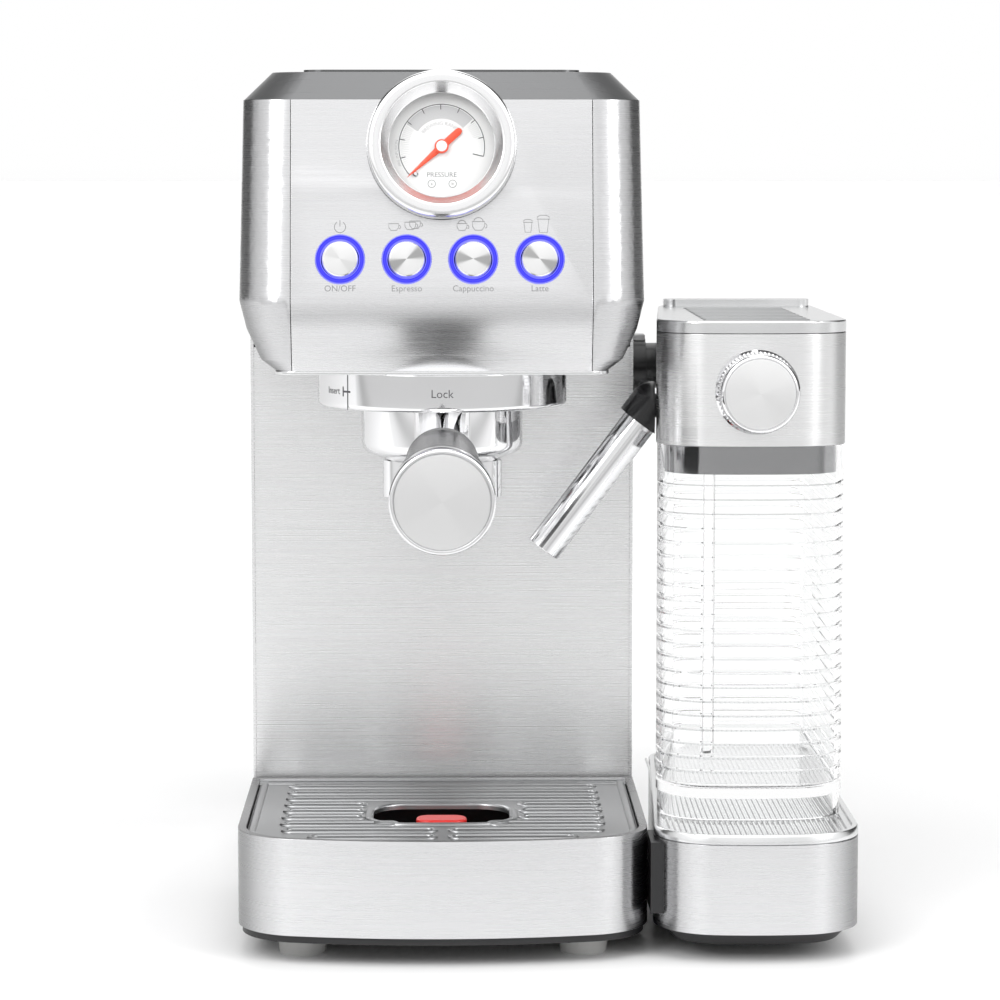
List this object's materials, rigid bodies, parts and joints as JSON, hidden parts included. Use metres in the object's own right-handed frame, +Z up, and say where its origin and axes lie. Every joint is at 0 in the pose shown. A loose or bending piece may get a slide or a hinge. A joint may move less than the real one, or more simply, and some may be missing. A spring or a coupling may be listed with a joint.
{
  "type": "espresso machine",
  "caption": "Compact pump espresso machine in brushed steel with a pressure gauge, lit push buttons, a bayonet portafilter, a drip tray and a docked milk frother tank with a swivel spout.",
  "frame": {"origin": "on the floor, in the middle of the whole object's box, milk unit and handle included", "axes": "+Z up, -Y towards the user, +X towards the milk unit"},
  "size_m": [0.227, 0.378, 0.3219],
  "materials": {
    "steel_panel": "fine horizontal brush lines",
    "dark_steel": "brushed, darker",
    "grille_steel": "pressed sheet, satin",
    "plain_steel": "plain sheet",
    "polished_steel": "polished tube",
    "screw_steel": "plated",
    "chrome": "mirror polished",
    "silver_trim": "silver painted, glossy",
    "satin_silver": "satin silver",
    "spun_aluminium": "spun, radial highlights",
    "cast_aluminium": "cast",
    "black_plastic": "fine moulded grain",
    "grey_plastic": "satin",
    "black_rubber": "matte",
    "grey_rubber": "matte",
    "clear_glass": "clear",
    "clear_plastic": "clear moulded plastic",
    "smoke_clear": "smoke tinted moulded plastic",
    "dial_white": "printed face",
    "needle_red": "painted",
    "float_red": "moulded",
    "board_green": "circuit board",
    "blue_light": "lit light guide"
  },
  "bodies": {
    "machine": {"base_pan": "black_plastic", "base_feet": "grey_rubber", "splash_panel": "steel_panel", "column_side_left": "steel_panel", "column_side_right": "steel_panel", "rear_cover": "black_plastic", "screws": "screw_steel", "cord_gland": "black_rubber", "chassis_frame": "plain_steel", "head_front_panel": "steel_panel", "head_side_left": "steel_panel", "head_side_right": "steel_panel", "head_underside": "silver_trim", "top_cover": "dark_steel", "cup_warmer_plate": "dark_steel", "gauge_bezel": "chrome", "gauge_lens": "clear_glass", "gauge_case": "black_plastic", "gauge_dial": "dial_white", "button_light_rings": "blue_light", "button_switches": "black_plastic", "control_board": "board_green", "group_collar": "chrome", "brew_head": "cast_aluminium", "group_gasket": "black_rubber", "shower_screen": "plain_steel", "pump": "grey_plastic", "thermoblock": "cast_aluminium", "steam_port": "black_plastic"},
    "portafilter": {"portafilter_body": "chrome", "filter_basket": "plain_steel", "portafilter_spouts": "chrome", "portafilter_ferrule": "chrome", "portafilter_grip": "black_plastic", "grip_end_cap": "satin_silver"},
    "power_key": {"button_power": "spun_aluminium"},
    "espresso_key": {"button_espresso": "spun_aluminium"},
    "cappuccino_key": {"button_cappuccino": "spun_aluminium"},
    "latte_key": {"button_latte": "spun_aluminium"},
    "needle": {"gauge_needle": "needle_red"},
    "tray": {"drip_tray": "black_plastic", "drip_tray_front": "steel_panel"},
    "grille": {"drip_grille": "grille_steel"},
    "float": {"tray_float": "float_red"},
    "tank": {"water_tank": "smoke_clear", "tank_valve": "black_plastic"},
    "tank_lid": {"water_tank_lid": "dark_steel"},
    "milk_unit": {"milk_base_pan": "black_plastic", "milk_feet": "black_rubber", "milk_base_band": "steel_panel", "milk_base_top": "silver_trim", "milk_tank": "clear_plastic"},
    "milk_head": {"milk_head_plug": "grey_plastic", "milk_pickup_tube": "clear_plastic", "milk_head_housing": "steel_panel", "steam_spigot": "black_plastic"},
    "milk_cover": {"milk_lid": "silver_trim"},
    "knob": {"milk_knob": "chrome"},
    "spout": {"spout_elbow": "black_plastic", "spout_tube": "polished_steel"}
  },
  "joints": [
    {"name": "portafilter_turn", "type": "hinge", "parent": "machine", "child": "portafilter", "pos_m": [-0.0385, -0.039, 0.2], "axis": [0, 0, 1], "range_deg": [-54, 0]},
    {"name": "power_press", "type": "slide", "parent": "machine", "child": "power_key", "axis": [0, 0.9864, -0.1642], "range_m": [0, 0.002], "stiffness_N_per_m": 400},
    {"name": "espresso_press", "type": "slide", "parent": "machine", "child": "espresso_key", "axis": [0, 0.9864, -0.1642], "range_m": [0, 0.002], "stiffness_N_per_m": 400},
    {"name": "cappuccino_press", "type": "slide", "parent": "machine", "child": "cappuccino_key", "axis": [0, 0.9864, -0.1642], "range_m": [0, 0.002], "stiffness_N_per_m": 400},
    {"name": "latte_press", "type": "slide", "parent": "machine", "child": "latte_key", "axis": [0, 0.9864, -0.1642], "range_m": [0, 0.002], "stiffness_N_per_m": 400},
    {"name": "needle_sweep", "type": "hinge", "parent": "machine", "child": "needle", "pos_m": [-0.0385, -0.07775, 0.2937], "axis": [0, 0.9864, -0.1642], "range_deg": [0, 235], "stiffness_Nm_per_rad": 0.0002, "springref_deg": -17.19},
    {"name": "tray_slide", "type": "slide", "parent": "machine", "child": "tray", "axis": [0, -1, 0], "range_m": [0, 0.15]},
    {"name": "grille_lift", "type": "slide", "parent": "tray", "child": "grille", "axis": [0, 0, 1], "range_m": [0, 0.04]},
    {"name": "float_rise", "type": "slide", "parent": "tray", "child": "float", "axis": [0, 0, 1], "range_m": [0, 0.006]},
    {"name": "tank_lift", "type": "slide", "parent": "machine", "child": "tank", "axis": [0, 0, 1], "range_m": [0, 0.25]},
    {"name": "tank_lid_hinge", "type": "hinge", "parent": "tank", "child": "tank_lid", "pos_m": [-0.0385, 0.1865, 0.3078], "axis": [-1, 0, 0], "range_deg": [0, 95]},
    {"name": "milk_unit_slide", "type": "slide", "parent": "machine", "child": "milk_unit", "axis": [1, 0, 0], "range_m": [0, 0.08]},
    {"name": "milk_head_lift", "type": "slide", "parent": "milk_unit", "child": "milk_head", "axis": [0, 0, 1], "range_m": [0, 0.014]},
    {"name": "milk_lid_hinge", "type": "hinge", "parent": "milk_head", "child": "milk_cover", "pos_m": [0.0795, 0.0742, 0.22615], "axis": [-1, 0, 0], "range_deg": [0, 95]},
    {"name": "knob_turn", "type": "hinge", "parent": "milk_head", "child": "knob", "pos_m": [0.0758, -0.075, 0.2051], "axis": [0, 1, 0], "range_deg": [-90, 90]},
    {"name": "spout_swivel", "type": "hinge", "parent": "milk_head", "child": "spout", "pos_m": [0.0405, -0.039, 0.1977], "axis": [-1, 0, 0], "range_deg": [-20, 75]}
  ]
}
